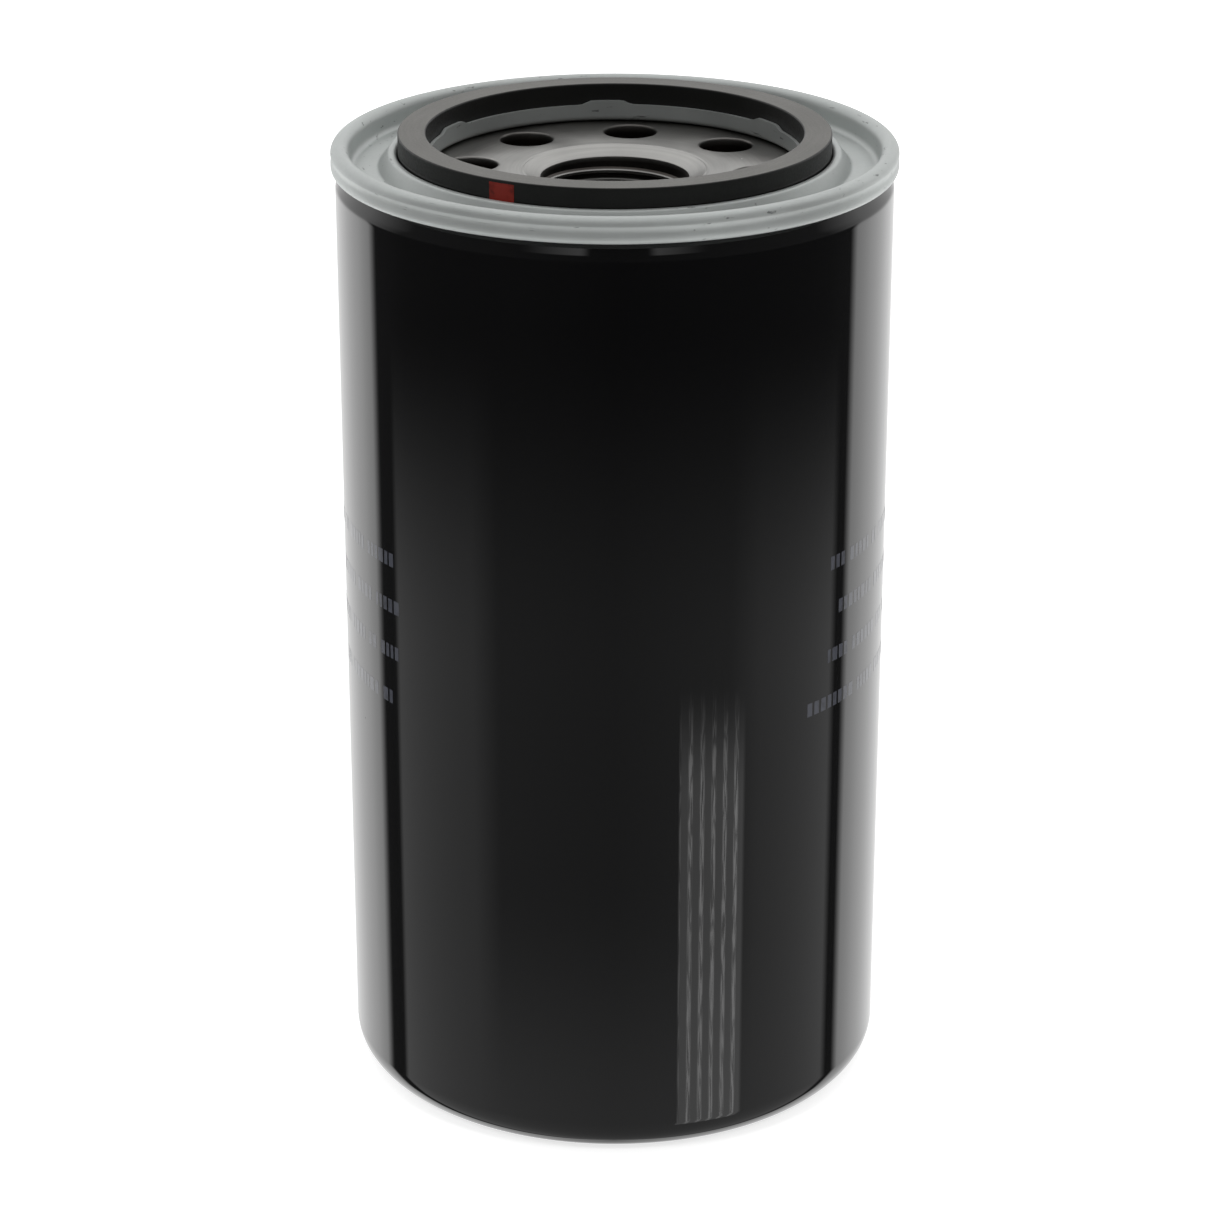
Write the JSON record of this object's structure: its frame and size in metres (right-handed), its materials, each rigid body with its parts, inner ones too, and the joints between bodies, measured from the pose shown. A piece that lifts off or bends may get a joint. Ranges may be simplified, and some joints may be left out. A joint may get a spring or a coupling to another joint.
{
  "type": "spin-on oil filter",
  "caption": "Tall round spin-on oil filter: black steel can, zinc-plated rolled seam, square rubber gasket, threaded hub with inlet holes, pleated element and sprung bypass valve inside.",
  "frame": {"origin": "middle of the closed end, in the plane that the filter stands on", "axes": "+Z along the filter's axis, from the closed end to the threaded end"},
  "size_m": [0.0948, 0.0948, 0.1685],
  "materials": {
    "black_paint": "gloss black stoving paint on steel sheet",
    "zinc_plate": "satin zinc plate on steel sheet",
    "plain_steel": "plain pressed and tapped steel with an oil film",
    "spring_steel": "drawn spring wire",
    "gasket_rubber": "smooth black nitrile rubber",
    "valve_rubber": "dull brown nitrile rubber",
    "filter_paper": "resin-treated filter paper",
    "adhesive": "cured plastisol adhesive",
    "sealant": "seaming compound"
  },
  "bodies": {
    "filter_shell": {"can": "black_paint", "seaming_lid": "zinc_plate", "seam_sealant": "sealant", "sealing_gasket": "gasket_rubber", "tapping_plate": "plain_steel", "support_spring": "spring_steel"},
    "drain_valve": {"anti_drain_valve": "valve_rubber"},
    "element": {"element_seal": "gasket_rubber", "top_end_cap": "zinc_plate", "bottom_end_cap": "zinc_plate", "top_potting": "adhesive", "bottom_potting": "adhesive", "pleated_media": "filter_paper", "media_seam_clip": "zinc_plate", "centre_tube": "zinc_plate", "bypass_valve_seat": "zinc_plate", "bypass_valve_cage": "zinc_plate", "bypass_valve_spring": "spring_steel"},
    "bypass_valve": {"bypass_valve_plate": "plain_steel", "bypass_valve_seal": "gasket_rubber", "bypass_valve_stem": "plain_steel"}
  },
  "joints": [
    {"name": "drain_valve_lift", "type": "slide", "parent": "filter_shell", "child": "drain_valve", "axis": [0, 0, 1], "range_m": [-0.0015, 0], "stiffness_N_per_m": 500, "springref_m": 0.002},
    {"name": "element_float", "type": "slide", "parent": "filter_shell", "child": "element", "axis": [0, 0, 1], "range_m": [-0.0015, 0], "stiffness_N_per_m": 25000, "springref_m": 0.0042, "deforming": ["support_spring"]},
    {"name": "bypass_valve_lift", "type": "slide", "parent": "element", "child": "bypass_valve", "axis": [0, 0, 1], "range_m": [0, 0.004], "stiffness_N_per_m": 3000, "springref_m": -0.0088, "deforming": ["bypass_valve_spring"]}
  ]
}
